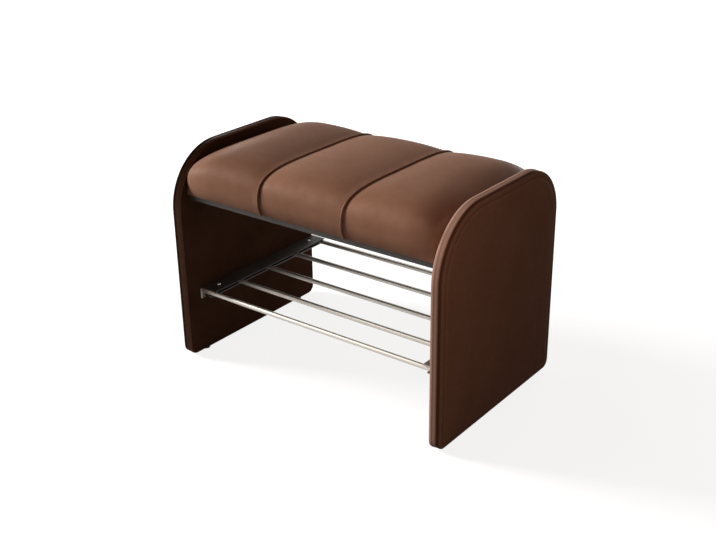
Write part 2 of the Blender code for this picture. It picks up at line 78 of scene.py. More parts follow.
CHANNEL_WIDTH = 0.0016       # from its middle to where it fades
CHANNEL_DEPTH = 0.0007
PAD_CELLS = 112              # quads across the pad
PAD_EDGE_POWER = 1.8         # how closely its rows crowd at the edge
PAD_EDGE_TRIALS = 30         # halvings of the search for its edge
RIM_STEP = 0.008             # between rows along the straight sides of the band
RIM_CORNER_STEPS = 24
RIM_FOOT_STEPS = 8
RIM_MERGE = 0.00002          # where the band's last row meets its first

# Seat
SEGMENTS = ("left", "centre", "right")
PIPING_LOW, PIPING_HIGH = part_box("seat_piping_left")
PIPING_RADIUS = (PIPING_HIGH.x - PIPING_LOW.x) / 2
PIPING_RISE = 0.0016         # cord's axis above the seam line
PIPING_SIDES = 14
PIPING_STEP = 0.003
SEAT_LOW = PIPING_LOW.z      # lower edge of the covers
SEAM_TOP = PIPING_HIGH.z - 2 * PIPING_RADIUS
SEAM_REACH = PIPING_HIGH.y
SEAM_TUCK = 0.008            # how far the leather rolls under at its lower edge
TUCK_HEIGHT = 0.030          # above the lower edge, where it stands out most
TUCK_POWER = 2.2             # how late it rolls under
TOP_POWER = 5.0              # flatness of the seat's front and back
DEPTH_POWER = 4.2            # flatness of the seat's top
CROWN = 0.0072               # a cushion's top above its seams, before it swells
FRONT_SWELL = 0.0010         # its front before its seams, likewise
CUSHION_SWELL = 0.0030       # most that the filling pushes the leather out
CROWN_POWER = 2.3            # how late the crown falls to a seam
END_DROP = 0.017             # how far an end cushion rolls down to its panel
END_TUCK = 0.009             # how far its front rolls back there
END_POWER = 3.0              # how late it rolls
SEAM_ROLL = 0.0045           # round of the leather into a seam
SEWN_REACH = 0.024           # from a seam, where the filling hardly lifts the leather
SEAM_PUCKER = 0.00022        # small gathers along a seam
PUCKER_PITCH = 0.011
PUCKER_REACH = 0.009         # how far they run out from the seam
PUCKER_LENGTH = 0.027        # over which one of them changes on its way out
COVER_THICK = 0.0015
CUSHION_COLUMNS = 56
CUSHION_ROWS = 156
ARCH_SAMPLES = 600
FIT = 0.0003                 # gap between faces that touch
BOARD_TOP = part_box("seat_board_centre")[1].z

# Frame and shelf
RAIL_WALL = 0.0012
RAIL_ROUND = 0.0022          # outer corners of the flat tube
RAIL_ROUND_STEPS = 5
BRACKET_THICK = 0.002
BRACKET_BEND = 0.0030        # outer radius of the angle's bend
BEND_STEPS = 6
TUBES = 5
TUBE_RADIUS = 0.005
TUBE_WALL = 0.001
EDGE_ROUND = 0.0005          # broken edges of cut steel
EDGE_STEPS = 2
BARE_END = 0.005             # of the angle, where the coat is worn off
TURN_STEPS = 40

# Fasteners: shank radius, head radius, head height and the drive in the head
FRAME_SCREW = (0.003, 0.005, 0.0035, "hex")
SMALL_SCREW = (0.002, 0.004, 0.0024, "cross")
HEAD_LAND = 0.62             # flat top of the head, as a share of its radius
DRIVE_SIZE = 0.5             # reach of the drive, likewise
DRIVE_DEPTH = 0.6            # share of the head's height
DRIVE_TAPER = 0.96           # floor of the drive, as a share of its mouth
CROSS_WIDTH = 0.28           # arm of a cross drive, as a share of its reach

# Floor glides
GLIDE_RADIUS = 0.009
SPIGOT_RADIUS = 0.003
GLIDE_ROUND = 0.0007

# Leather paler above 0, from rubbing and from painted light, and painted shade below 0
BAND_RUB_AND_PAINTED_LIGHT = {"left": 0.05, "right": 0.65}  # over a whole band: painted light, the right-hand band painted much paler as if lit; a little rubbing on both
BAND_EDGE_RUB = 0.30         # along the band's edge at the lining
BAND_EDGE_REACH = 0.003
# painted shade along the band where it meets the pad's seam
BAND_SEAM_PAINTED_SHADE = 0.75
BAND_PATCH = 0.018           # size of the rubbed patches
# the pad's rolled edge: patchy rubbing, with a painted highlight along the roll
PAD_EDGE_RUB_AND_HIGHLIGHT = 0.20
PAD_LIP_PAINTED_HIGHLIGHT = 0.15           # painted highlight on the lip of the sewn channel
# painted shade in the pad's seam and in its sewn channel
PAD_SEAM_PAINTED_SHADE = 0.60
PAD_CHANNEL_PAINTED_SHADE = 0.25
PAD_PATCH = 0.02
SEAM_PAINTED_SHADE = "#2a1911"        # colour of the painted shade in the seams
SEAM_PAINTED_SHADE_REACH = 0.0015     # how far the painted shade spreads from the pad's seam
CUSHION_SEAM_RUB = 0.30
CUSHION_EDGE_RUB = 0.24      # round edges of the top at the front and back
CUSHION_EDGE_LEAN = 0.7      # Y part of the leather's normal there
CUSHION_EDGE_SPREAD = 0.5    # how far from that the wear reaches
CUSHION_PATCH = 0.02
PIPING_RUB = 0.55
PIPING_PATCH = 0.015

# Simulation
SIM_FRAMES = 20
SIM_PRESSURE = 4.0

# Studio
FLOOR_HALF = 6.0
FLOOR_PAINT = 0.24           # grey that light falls on
FLOOR_GLOW = 0.84            # white added where it is seen near the bench, rising to 1 farther out
FLOOR_NEAR = 0.5
FLOOR_FAR = 2.0
AMBIENT = 0.045
AMBIENT_TINT = "#ffc08a"
SEAT_MIDDLE = (0.0, 0.0, 0.40)

SHARP_DEGREES = 35           # flatter edges are shaded smooth
MERGE = 0.000002


def colour(code):
    """An sRGB hex colour as linear RGBA."""
    channels = [int(code[i:i + 2], 16) / 255 for i in (1, 3, 5)]
    return (*[c / 12.92 if c <= 0.04045 else ((c + 0.055) / 1.055) ** 2.4 for c in channels], 1.0)


def per_metre(millimetres):
    """Scale of a pattern whose features are this far apart."""
    return 1000 / millimetres


def smooth_step(value):
    """0 below 0 and 1 above 1, with a smooth rise between."""
    value = min(max(value, 0.0), 1.0)
    return value * value * (3 - 2 * value)


def bell(value, middle, width):
    """1 at the middle of a soft hump, and near 0 two widths away."""
    return math.exp(-((value - middle) / width) ** 2)


def patchy(point, size):
    """A share from 0 to 1 that changes over patches of a size."""
    return 0.5 + 0.5 * noise.noise(point / size)


# Materials


def add(tree, kind, inputs=None, **settings):
    """Adds a node with its settings. Its inputs are values, or outputs of other nodes."""
    made = tree.nodes.new(kind)
    for key, value in settings.items():
        setattr(made, key, value)
    for key, value in (inputs or {}).items():
        if isinstance(value, bpy.types.NodeSocket):
            tree.links.new(value, made.inputs[key])
        else:
            made.inputs[key].default_value = value
    return made


def new_material(name, **constants):
    """A material with its tree, its Principled shader and the coordinates that patterns lie on."""
    made = bpy.data.materials.new(name)
    made.use_nodes = True
    tree = made.node_tree
    shader = tree.nodes["Principled BSDF"]
    for key, value in constants.items():
        shader.inputs[key.replace("_", " ")].default_value = value
    return made, tree, shader, add(tree, "ShaderNodeTexCoord").outputs["Object"]


def leather(name, light, dark, worn_and_lit, specular, grain=2.0, depth=0.10):
    """Cowhide, dyed, sprayed with a satin pigment coat and pressed with a fine pebble.

    The coat gives broad soft highlights. The dye is cloudy, and the creases between the pebbles hold more of
    it. Above 0 the per-vertex attribute makes the leather paler and smoother: edges paled by rubbing, and
    painted light over the right-hand band and along the pads. Below 0 it darkens the seams and channels
    with painted shade. The pebble is drawn twice its real size, so that it shows.
    """
    made, tree, shader, spot = new_material(name, Specular_IOR_Level=specular)
    clouds = add(tree, "ShaderNodeTexNoise", {"Vector": spot, "Scale": per_metre(85), "Detail": 4.0})
    patches = add(tree, "ShaderNodeTexNoise", {"Vector": spot, "Scale": per_metre(14), "Detail": 3.0})
    warp = add(tree, "ShaderNodeTexNoise", {"Vector": spot, "Scale": per_metre(5), "Detail": 2.0})
    bent = add(tree, "ShaderNodeVectorMath",
               {0: warp.outputs["Color"], 1: (0.0012, 0.0012, 0.0012), 2: spot},
               operation="MULTIPLY_ADD").outputs["Vector"]
    cells = add(tree, "ShaderNodeTexVoronoi", {"Vector": bent, "Scale": per_metre(grain)},
                feature="DISTANCE_TO_EDGE")
    pebble = add(tree, "ShaderNodeMapRange", {"Value": cells.outputs["Distance"], "From Max": 0.22},
                 interpolation_type="SMOOTHSTEP").outputs["Result"]
    folds = add(tree, "ShaderNodeTexVoronoi", {"Vector": bent, "Scale": per_metre(9)},
                feature="DISTANCE_TO_EDGE")
    fold = add(tree, "ShaderNodeMapRange", {"Value": folds.outputs["Distance"], "From Max": 0.05},
               interpolation_type="SMOOTHSTEP").outputs["Result"]
    cloud = add(tree, "ShaderNodeMapRange",
                {"Value": clouds.outputs["Fac"], "From Min": 0.3, "From Max": 0.7})
    dyed = add(tree, "ShaderNodeMix", {0: cloud.outputs["Result"], 6: colour(light), 7: colour(dark)},
               data_type="RGBA").outputs[2]
    patch = add(tree, "ShaderNodeMapRange",
                {"Value": patches.outputs["Fac"], "From Min": 0.3, "From Max": 0.7,
                 "To Min": 0.97, "To Max": 1.02})
    mottled = add(tree, "ShaderNodeVectorMath", {0: dyed, "Scale": patch.outputs["Result"]},
                  operation="SCALE").outputs["Vector"]
    hollow = add(tree, "ShaderNodeMapRange", {"Value": pebble, "To Min": 0.86, "To Max": 1.0})
    grained = add(tree, "ShaderNodeVectorMath", {0: mottled, "Scale": hollow.outputs["Result"]},
                  operation="SCALE").outputs["Vector"]
    # Above 0: paler from rubbing, and painted light; below 0: painted shade in seams and channels
    lightened = add(tree, "ShaderNodeAttribute", attribute_name="wear_and_painted_light").outputs["Fac"]
    painted_shade = add(tree, "ShaderNodeMath", {0: lightened, 1: -1.0}, operation="MULTIPLY",
               use_clamp=True).outputs[0]
    painted_shaded = add(tree, "ShaderNodeMix", {0: painted_shade, 6: grained, 7: colour(SEAM_PAINTED_SHADE)},
                 data_type="RGBA").outputs[2]
    tree.links.new(
        add(tree, "ShaderNodeMix", {0: lightened, 6: painted_shaded, 7: colour(worn_and_lit)}, data_type="RGBA").outputs[2],
        shader.inputs["Base Color"])
    gloss = add(tree, "ShaderNodeMapRange",
                {"Value": pebble, "To Min": 0.48, "To Max": 0.38}).outputs["Result"]
    polish = add(tree, "ShaderNodeMath", {0: lightened, 1: -0.08, 2: gloss}, operation="MULTIPLY_ADD")
    tree.links.new(polish.outputs[0], shader.inputs["Roughness"])
    relief = add(tree, "ShaderNodeMath", {0: fold, 1: 0.5, 2: pebble}, operation="MULTIPLY_ADD").outputs[0]
    bump = add(tree, "ShaderNodeBump", {"Strength": 0.5, "Distance": depth / 1000, "Height": relief})
    tree.links.new(bump.outputs["Normal"], shader.inputs["Normal"])
    return made


def plywood(name, across):
    """Raw birch plywood: pale veneer with dark pores along the grain, and plies that show on sawn edges.

    across is the axis through the board's thickness.
    """
    made, tree, shader, spot = new_material(name, Roughness=0.62)
    stretch = Vector((per_metre(6), per_metre(6), per_metre(6)))
    stretch["xyz".index("y" if across == "z" else "z")] = per_metre(90)
    along = add(tree, "ShaderNodeVectorMath", {0: spot, 1: stretch}, operation="MULTIPLY").outputs["Vector"]
    fibres = add(tree, "ShaderNodeTexNoise",
                 {"Vector": along, "Scale": 1.0, "Detail": 6.0, "Roughness": 0.6})
    plies = add(tree, "ShaderNodeTexWave",
                {"Vector": spot, "Scale": per_metre(2.8) / (2 * math.pi), "Distortion": 0.3},
                bands_direction=across.upper())
    veneer = add(tree, "ShaderNodeMix",
                 {0: fibres.outputs["Fac"], 6: colour("#cfae7c"), 7: colour("#a27c4c")},
                 data_type="RGBA").outputs[2]
    ply = add(tree, "ShaderNodeMapRange", {"Value": plies.outputs["Fac"], "To Min": 0.82, "To Max": 1.0})
    tree.links.new(
        add(tree, "ShaderNodeVectorMath", {0: veneer, "Scale": ply.outputs["Result"]},
            operation="SCALE").outputs["Vector"],
        shader.inputs["Base Color"])
    bump = add(tree, "ShaderNodeBump",
               {"Strength": 0.3, "Distance": 0.0002, "Height": fibres.outputs["Fac"]})
    tree.links.new(bump.outputs["Normal"], shader.inputs["Normal"])
    return made


def spunbond():
    """Black spun-bonded polypropylene: matted fibres, welded in a grid of small dots that shine a little.

    The dots are 3 mm apart, twice the real pitch, so that they show.
    """
    made, tree, shader, spot = new_material("spunbond_polypropylene", Sheen_Weight=0.25, Sheen_Roughness=0.6)
    fibres = add(tree, "ShaderNodeTexNoise",
                 {"Vector": spot, "Scale": per_metre(2.5), "Detail": 5.0, "Distortion": 2.5})
    dots = add(tree, "ShaderNodeTexVoronoi", {"Vector": spot, "Scale": per_metre(3), "Randomness": 0.0},
               voronoi_dimensions="2D")
    weld = add(tree, "ShaderNodeMapRange",
               {"Value": dots.outputs["Distance"], "From Min": 0.22, "From Max": 0.32}).outputs["Result"]
    tree.links.new(
        add(tree, "ShaderNodeMix", {0: fibres.outputs["Fac"], 6: colour("#141312"), 7: colour("#312e2c")},
            data_type="RGBA").outputs[2],
        shader.inputs["Base Color"])
    tree.links.new(
        add(tree, "ShaderNodeMapRange", {"Value": weld, "To Min": 0.55, "To Max": 0.95}).outputs["Result"],
        shader.inputs["Roughness"])
    height = add(tree, "ShaderNodeMath", {0: fibres.outputs["Fac"], 1: weld}, operation="MULTIPLY")
    bump = add(tree, "ShaderNodeBump", {"Strength": 0.6, "Distance": 0.0003, "Height": height.outputs[0]})
    tree.links.new(bump.outputs["Normal"], shader.inputs["Normal"])
    return made


def powder_coat():
    """Steel with a dark metallic powder coat: a satin skin with orange peel and flake, bare at sawn ends."""
    made, tree, shader, spot = new_material("gunmetal_powder_coat", Metallic=0.45)
    peel = add(tree, "ShaderNodeTexNoise", {"Vector": spot, "Scale": per_metre(1.6), "Detail": 2.0})
    flake = add(tree, "ShaderNodeTexVoronoi", {"Vector": spot, "Scale": per_metre(0.7)})
    dust = add(tree, "ShaderNodeTexNoise", {"Vector": spot, "Scale": per_metre(45), "Detail": 4.0})
    tone = add(tree, "ShaderNodeMix",
               {0: flake.outputs["Distance"], 6: colour("#39332f"), 7: colour("#2b2623")},
               data_type="RGBA").outputs[2]
    shade = add(tree, "ShaderNodeMapRange",
                {"Value": dust.outputs["Fac"], "From Min": 0.3, "From Max": 0.7,
                 "To Min": 0.9, "To Max": 1.08})
    coat = add(tree, "ShaderNodeVectorMath", {0: tone, "Scale": shade.outputs["Result"]},
               operation="SCALE").outputs["Vector"]
    bare = add(tree, "ShaderNodeAttribute", attribute_name="wear_and_painted_light").outputs["Fac"]
    tree.links.new(
        add(tree, "ShaderNodeMix", {0: bare, 6: coat, 7: colour("#b3a59b")}, data_type="RGBA").outputs[2],
        shader.inputs["Base Color"])
    tree.links.new(
        add(tree, "ShaderNodeMapRange",
            {"Value": dust.outputs["Fac"], "To Min": 0.38, "To Max": 0.56}).outputs["Result"],
        shader.inputs["Roughness"])
    bump = add(tree, "ShaderNodeBump", {"Strength": 0.35, "Distance": 0.0001, "Height": peel.outputs["Fac"]})
    tree.links.new(bump.outputs["Normal"], shader.inputs["Normal"])
    return made


def plated_steel(name, bright, dull, roughness, streak):
    """Steel, drawn or cold-headed and then plated: a mirror with faint draw lines and hazy patches.

    streak is the length of the draw lines along X in millimetres.
    """
    made, tree, shader, spot = new_material(name, Metallic=1.0)
    stretch = (per_metre(streak), per_metre(0.8), per_metre(0.8))
    along = add(tree, "ShaderNodeVectorMath", {0: spot, 1: stretch}, operation="MULTIPLY").outputs["Vector"]
    lines = add(tree, "ShaderNodeTexNoise", {"Vector": along, "Scale": 1.0, "Detail": 3.0})
    haze = add(tree, "ShaderNodeTexNoise", {"Vector": spot, "Scale": per_metre(30), "Detail": 3.0})
    tree.links.new(
        add(tree, "ShaderNodeMix", {0: haze.outputs["Fac"], 6: colour(bright), 7: colour(dull)},
            data_type="RGBA").outputs[2],
        shader.inputs["Base Color"])
    hazy = add(tree, "ShaderNodeMapRange",
               {"Value": haze.outputs["Fac"], "To Min": roughness * 0.8, "To Max": roughness * 1.4})
    tree.links.new(hazy.outputs["Result"], shader.inputs["Roughness"])
    bump = add(tree, "ShaderNodeBump",
               {"Strength": 0.15, "Distance": 0.00004, "Height": lines.outputs["Fac"]})
    tree.links.new(bump.outputs["Normal"], shader.inputs["Normal"])
    return made


def moulded_nylon():
    """Black nylon from a spark-eroded mould: a fine matt texture with paler scuffs."""
    made, tree, shader, spot = new_material("moulded_nylon", IOR=1.53)
    texture = add(tree, "ShaderNodeTexNoise", {"Vector": spot, "Scale": per_metre(0.6), "Detail": 2.0})
    scuffs = add(tree, "ShaderNodeTexNoise", {"Vector": spot, "Scale": per_metre(5), "Detail": 4.0})
    tree.links.new(
        add(tree, "ShaderNodeMix", {0: scuffs.outputs["Fac"], 6: colour("#191817"), 7: colour("#33302e")},
            data_type="RGBA").outputs[2],
        shader.inputs["Base Color"])
    tree.links.new(
        add(tree, "ShaderNodeMapRange",
            {"Value": scuffs.outputs["Fac"], "To Min": 0.45, "To Max": 0.65}).outputs["Result"],
        shader.inputs["Roughness"])
    bump = add(tree, "ShaderNodeBump",
               {"Strength": 0.4, "Distance": 0.0001, "Height": texture.outputs["Fac"]})
    tree.links.new(bump.outputs["Normal"], shader.inputs["Normal"])
    return made


SEAT_LEATHER = leather("satin_pigmented_leather", "#84604d", "#7e5a47", "#a4877a", 0.015)
PAD_LEATHER = leather("matt_pigmented_leather", "#84604d", "#7e5a47", "#a4877a", 0.003)
# The lining stands for the panels' leather painted darker: painted shade inside the bay
SHADED_LINING_LEATHER = leather("matt_lining_leather_painted_shade", "#5f4233", "#513628", "#6b4a39", 0.003,
                         grain=1.6, depth=0.06)
PANEL_PLYWOOD = plywood("birch_plywood_panel", "x")
BOARD_PLYWOOD = plywood("birch_plywood_board", "z")
DUST_CLOTH = spunbond()
GUNMETAL = powder_coat()
CHROME = plated_steel("satin_chrome_tube", "#c9c2ba", "#b1a9a0", 0.38, 120)
ZINC = plated_steel("zinc_plated_screw", "#b9b8b3", "#8f8e8a", 0.32, 1.5)
NYLON = moulded_nylon()


# Pieces


def make_piece(name, bm, material, slot, *replaced):
    """Turns a bmesh into a piece that rides on the bench and stands for the named CAD nodes."""
    mesh = bpy.data.meshes.new(name)
    bm.to_mesh(mesh)
    bm.free()
    mesh.shade_smooth()
    mesh.set_sharp_from_angle(angle=math.radians(SHARP_DEGREES))
    mesh.materials.append(material)
    piece = bpy.data.objects.new(name, mesh)
    bpy.context.scene.collection.objects.link(piece)
    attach(piece, "root")
    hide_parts(*replaced)
    return piece


def dress_node(node, material):
    """Gives a CAD node that stays a better material."""
    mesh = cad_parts[node].data
    mesh.materials.clear()
    mesh.materials.append(material)


def open_edges(bm):
    return [edge for edge in bm.edges if edge.is_boundary]


def only(kind, items):
    """The vertices, edges or faces among what an operator made."""
    return [item for item in items if isinstance(item, kind)]


def grow(bm, edges):
    """Extrudes edges. Gives the new vertices, and the new edges between them."""
    made = bmesh.ops.extrude_edge_only(bm, edges=edges)["geom"]
    verts = only(bmesh.types.BMVert, made)
    return verts, [e for e in only(bmesh.types.BMEdge, made) if all(v in verts for v in e.verts)]


def pull_edges(bm, edges, place):
    """Extrudes edges and moves each new vertex to place(vertex position)."""
    made = bmesh.ops.extrude_edge_only(bm, edges=edges)["geom"]
    for vert in only(bmesh.types.BMVert, made):
        vert.co = place(vert.co)
    bmesh.ops.remove_doubles(bm, verts=bm.verts[:], dist=MERGE)


def close_mesh(bm):
    """Fills what is open and turns all faces outwards."""
    bmesh.ops.holes_fill(bm, edges=open_edges(bm), sides=0)
    bmesh.ops.dissolve_degenerate(bm, dist=MERGE, edges=bm.edges[:])
    bmesh.ops.recalc_face_normals(bm, faces=bm.faces[:])


def turned(profile, place, closed=False):
    """A bmesh turned from (radius, height) points about its own Z axis and then moved to its place."""
    bm = bmesh.new()
    verts = [bm.verts.new((radius, 0, height)) for radius, height in profile]
    ends = verts[1:] + verts[:1] if closed else verts[1:]
    edges = [bm.edges.new(pair) for pair in zip(verts, ends)]
    bmesh.ops.spin(bm, geom=verts + edges, cent=(0, 0, 0), axis=(0, 0, 1), angle=2 * math.pi,
                   steps=TURN_STEPS, use_merge=True)
    bmesh.ops.remove_doubles(bm, verts=bm.verts[:], dist=MERGE)
    bmesh.ops.transform(bm, matrix=place, verts=bm.verts[:])
    return bm


def pointing(place, direction):
    """A matrix that moves the Z axis to a place and turns it to a direction."""
    return Matrix.Translation(place) @ Vector(direction).to_track_quat("Z", "Y").to_matrix().to_4x4()


def node_box(node):
    """A bmesh of the box around a CAD node."""
    low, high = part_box(node)
    bm = bmesh.new()
    bmesh.ops.create_cube(bm, size=1.0)
    bmesh.ops.scale(bm, vec=high - low, verts=bm.verts[:])
    bmesh.ops.translate(bm, vec=(low + high) / 2, verts=bm.verts[:])
    return bm


def round_edges(bm, edges, size, steps):
    """Rounds edges by a number of steps."""
    bmesh.ops.bevel(bm, geom=edges, offset=size, affect="EDGES", segments=steps, profile=0.5,
                    material=-1)


def break_edges(bm):
    """Rounds the sharp edges of cut metal a little."""
    bmesh.ops.recalc_face_normals(bm, faces=bm.faces[:])
    sharp = [e for e in bm.edges if e.is_manifold and e.calc_face_angle() > math.radians(SHARP_DEGREES)]
    round_edges(bm, sharp, EDGE_ROUND, EDGE_STEPS)


# Padding: open sheets that are blown up while their sewn edges are held


def new_sheet(name, bm, holds):
    """An open sheet for the simulation. holds(point) is 1 where it is sewn down and 0 where it is free."""
    mesh = bpy.data.meshes.new(name)
    bm.to_mesh(mesh)
    bm.free()
    sheet = bpy.data.objects.new(name, mesh)
    bpy.context.scene.collection.objects.link(sheet)
    sewn = sheet.vertex_groups.new(name="sewn")
    for vert in mesh.vertices:
        sewn.add([vert.index], holds(vert.co), "REPLACE")
    return sheet


def inflate(sheets):
    """Blows up sheets, given with the most that each may swell, by cloth simulation without gravity."""
    for sheet, _ in sheets:
        cloth = sheet.modifiers.new("filling", "CLOTH")
        cloth.settings.vertex_group_mass = "sewn"
        cloth.settings.use_pressure = True
        cloth.settings.uniform_pressure_force = SIM_PRESSURE
        cloth.settings.effector_weights.gravity = 0.0
        cloth.collision_settings.use_collision = False
    for step in range(1, SIM_FRAMES + 1):
        bpy.context.scene.frame_set(step)
    depsgraph = bpy.context.evaluated_depsgraph_get()
    for sheet, most in sheets:
        blown = sheet.evaluated_get(depsgraph).to_mesh()
        goals = [vert.co.copy() for vert in blown.vertices]
        sheet.modifiers.clear()
        for vert, goal in zip(sheet.data.vertices, goals):
            move = goal - vert.co
            if move.length > 0:
                vert.co += move * (most * math.tanh(move.length / most) / move.length)
    bpy.context.scene.frame_set(1)


def refined(sheet):
    """A bmesh of a sheet after one subdivision. The sheet itself is removed."""
    smoothing = sheet.modifiers.new("smoothing", "SUBSURF")
    smoothing.levels = smoothing.render_levels = 1
    bm = bmesh.new()
    bm.from_object(sheet, bpy.context.evaluated_depsgraph_get())
    bpy.data.objects.remove(sheet)
    return bm


# Seat cushions


def seat_arch(rise, swell):
    """Points (y, z) over the seat from its lower front to its lower back edge, and the length up to each.

    rise and swell lift its top and push out its front and back.
    """
    half = []
    for step in range(ARCH_SAMPLES + 1):
        share = 1 - (1 - step / ARCH_SAMPLES) ** 2
        turn = math.pi / 2 * share ** (TOP_POWER / 2)
        z = SEAT_LOW + (SEAM_TOP - SEAT_LOW + rise) * math.sin(turn) ** (2 / TOP_POWER)
        under = max(1 - (z - SEAT_LOW) / TUCK_HEIGHT, 0.0) ** TUCK_POWER
        reach = SEAM_REACH + swell - (SEAM_TUCK + swell) * under
        half.append(Vector((-reach * max(math.cos(turn), 0) ** (2 / DEPTH_POWER), z)))
    points = half + [Vector((-p.x, p.y)) for p in half[-2::-1]]
    lengths = [0.0]
    for before, here in zip(points, points[1:]):
        lengths.append(lengths[-1] + (here - before).length)
    return points, lengths


def arch_spot(arch, share):
    """Point (y, z) of an arch at a share of its length, and the direction out of the seat there."""
    points, lengths = arch
    goal = min(max(share, 0.0), 1.0) * lengths[-1]
    index = min(bisect_right(lengths, goal), len(points) - 1)
    start, end = points[index - 1], points[index]
    part = (goal - lengths[index - 1]) / (lengths[index] - lengths[index - 1])
    along = (end - start).normalized()
    return start.lerp(end, part), Vector((-along.y, along.x))


SEAM_ARCH = seat_arch(0, 0)


def round_off(distance, radius):
    """How far a rounded edge has fallen at a distance from its end."""
    inside = max(radius - distance, 0.0)
    return radius - math.sqrt(max(radius * radius - inside * inside, 0.0))


def cushion_ends(word):
    """Left and right ends of a cushion along X, and which of them lies beside a panel."""
    low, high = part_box(f"seat_cover_{word}")
    return low.x, high.x, SIDES.get(word, 0)


CUSHION_ENDS = {word: cushion_ends(word) for word in SEGMENTS}


def cushion_arch(word, along):
    """The arch of a cushion at a place from -1 to 1 along it: crowned, and rolled down beside a panel."""
    panel = CUSHION_ENDS[word][2]
    fall = abs(along) ** CROWN_POWER
    rise, swell = CROWN * (1 - fall), FRONT_SWELL * (1 - fall)
    roll = max(along * panel, 0.0) ** END_POWER
    return seat_arch(rise - END_DROP * roll, swell - END_TUCK * roll)


def cushion_sheet(word):
    """The open leather of one cushion before it is filled."""
    left, right, _ = CUSHION_ENDS[word]
    bm = bmesh.new()
    bmesh.ops.create_grid(bm, x_segments=CUSHION_COLUMNS, y_segments=CUSHION_ROWS, size=1.0)
    arches = {}
    for vert in bm.verts:
        column = round(vert.co.x * CUSHION_COLUMNS)
        along = math.sin(vert.co.x * math.pi / 2)
        if column not in arches:
            arches[column] = cushion_arch(word, along)
        point, out = arch_spot(arches[column], (vert.co.y + 1) / 2)
        x = (left + right) / 2 + along * (right - left) / 2
        free = smooth_step((point.y - SEAT_LOW) / TUCK_HEIGHT)
        point = point - out * round_off(min(x - left, right - x), SEAM_ROLL) * free
        vert.co = Vector((x, point.x, point.y))

    def holds(point):
        from_end = min(point.x - left, right - point.x)
        return max(1 - smooth_step((from_end - SEAM_ROLL) / SEWN_REACH),
                   1 - smooth_step((point.z - SEAT_LOW) / (2 * TUCK_HEIGHT)))

    return new_sheet(f"cushion_{word}", bm, holds)


def gather_seams(bm, word):
    """Small gathers where the leather is pulled into its seams, and the rubbed look of its round edges."""
    left, right, _ = CUSHION_ENDS[word]
    wear_and_painted_light = bm.verts.layers.float.new("wear_and_painted_light")
    for vert in bm.verts:
        from_end = min(vert.co.x - left, right - vert.co.x)
        fade = math.exp(-from_end / PUCKER_REACH) * smooth_step(from_end / SEAM_ROLL)
        ripple = noise.noise(Vector((vert.co.x / PUCKER_LENGTH, vert.co.y / PUCKER_PITCH,
                                     vert.co.z / PUCKER_PITCH)))
        vert.co += vert.normal * (SEAM_PUCKER * ripple * fade)
        ridge = smooth_step(1 - abs(from_end - 2 * SEAM_ROLL) / (2 * SEAM_ROLL))
        edge = smooth_step(1 - abs(abs(vert.normal.y) - CUSHION_EDGE_LEAN) / CUSHION_EDGE_SPREAD)
        lightened = max(CUSHION_SEAM_RUB * ridge, CUSHION_EDGE_RUB * edge)
        vert[wear_and_painted_light] = lightened * patchy(vert.co, CUSHION_PATCH)


def finish_cushion(sheet, word):
    """Closes a filled sheet: walls inside the seams, and a recess underneath that takes the board."""
    left, right, _ = CUSHION_ENDS[word]
    name = sheet.name
    bm = refined(sheet)
    bm.normal_update()
    gather_seams(bm, word)
    ends = [e for e in open_edges(bm)
            if all(min(v.co.x - left, right - v.co.x) < MERGE * 10 for v in e.verts)]
    pull_edges(bm, ends, lambda co: Vector((co.x, co.y, SEAT_LOW)))
    margin = COVER_THICK + FIT / 2
    depth = max(v.co.y for e in open_edges(bm) for v in e.verts) - margin

    def inside(co):
        return Vector((min(max(co.x, left + margin), right - margin), min(max(co.y, -depth), depth), co.z))

    pull_edges(bm, open_edges(bm), inside)
    pull_edges(bm, open_edges(bm), lambda co: Vector((co.x, co.y, BOARD_TOP + FIT / 2)))
    close_mesh(bm)
    piece = make_piece(name, bm, SEAT_LEATHER, "leather", f"seat_cover_{word}", f"seat_foam_{word}")


def make_piping(word):
    """A leather-covered cord in the seam between two cushions, tucked in at both lower edges."""
    low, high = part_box(f"seat_piping_{word}")
    x = (low.x + high.x) / 2
    steps = round(SEAM_ARCH[1][-1] / PIPING_STEP)
    bm = bmesh.new()

    def ring(step):
        """Place of a ring across the cord: X along the seat, Y out of the seam and Z along the cord."""
        point, out = arch_spot(SEAM_ARCH, step / steps)
        middle = point + out * PIPING_RISE
        turn = Matrix(((1, 0, 0), (0, out.x, -out.y), (0, out.y, out.x)))
        return Matrix.Translation((x, middle.x, middle.y)) @ turn.to_4x4()

    made = bmesh.ops.create_circle(bm, segments=PIPING_SIDES, radius=PIPING_RADIUS, matrix=ring(0),
                                   cap_ends=False)
    edges = list({edge for vert in made["verts"] for edge in vert.link_edges})
    for step in range(1, steps + 1):
        verts, edges = grow(bm, edges)
        bmesh.ops.transform(bm, matrix=ring(step) @ ring(step - 1).inverted(), verts=verts)
    close_mesh(bm)
    wear_and_painted_light = bm.verts.layers.float.new("wear_and_painted_light")
    bm.normal_update()
    for vert in bm.verts:
        shown = max(vert.normal.z, abs(vert.normal.y))
        vert[wear_and_painted_light] = PIPING_RUB * shown * patchy(vert.co, PIPING_PATCH)
    make_piece(f"piping_{word}", bm, SEAT_LEATHER, "leather", f"seat_piping_{word}")


# Side panels


def rim_distance(y, z):
    """How far a point of a panel's face lies inside the panel's rim."""
    front = y < 0
    reach, top, foot = RIM_HIGH.y, RIM_HIGH.z, RIM_LOW.z
    above = z > (top + foot) / 2
    radius = (FRONT_RADIUS if front else REAR_RADIUS) if above else FOOT_RADIUS
    past_y = abs(y) - (reach - radius)
    past_z = z - (top - radius) if above else foot + radius - z
    if past_y > 0 and past_z > 0:
        return radius - math.hypot(past_y, past_z)
    return radius - max(past_y, past_z)


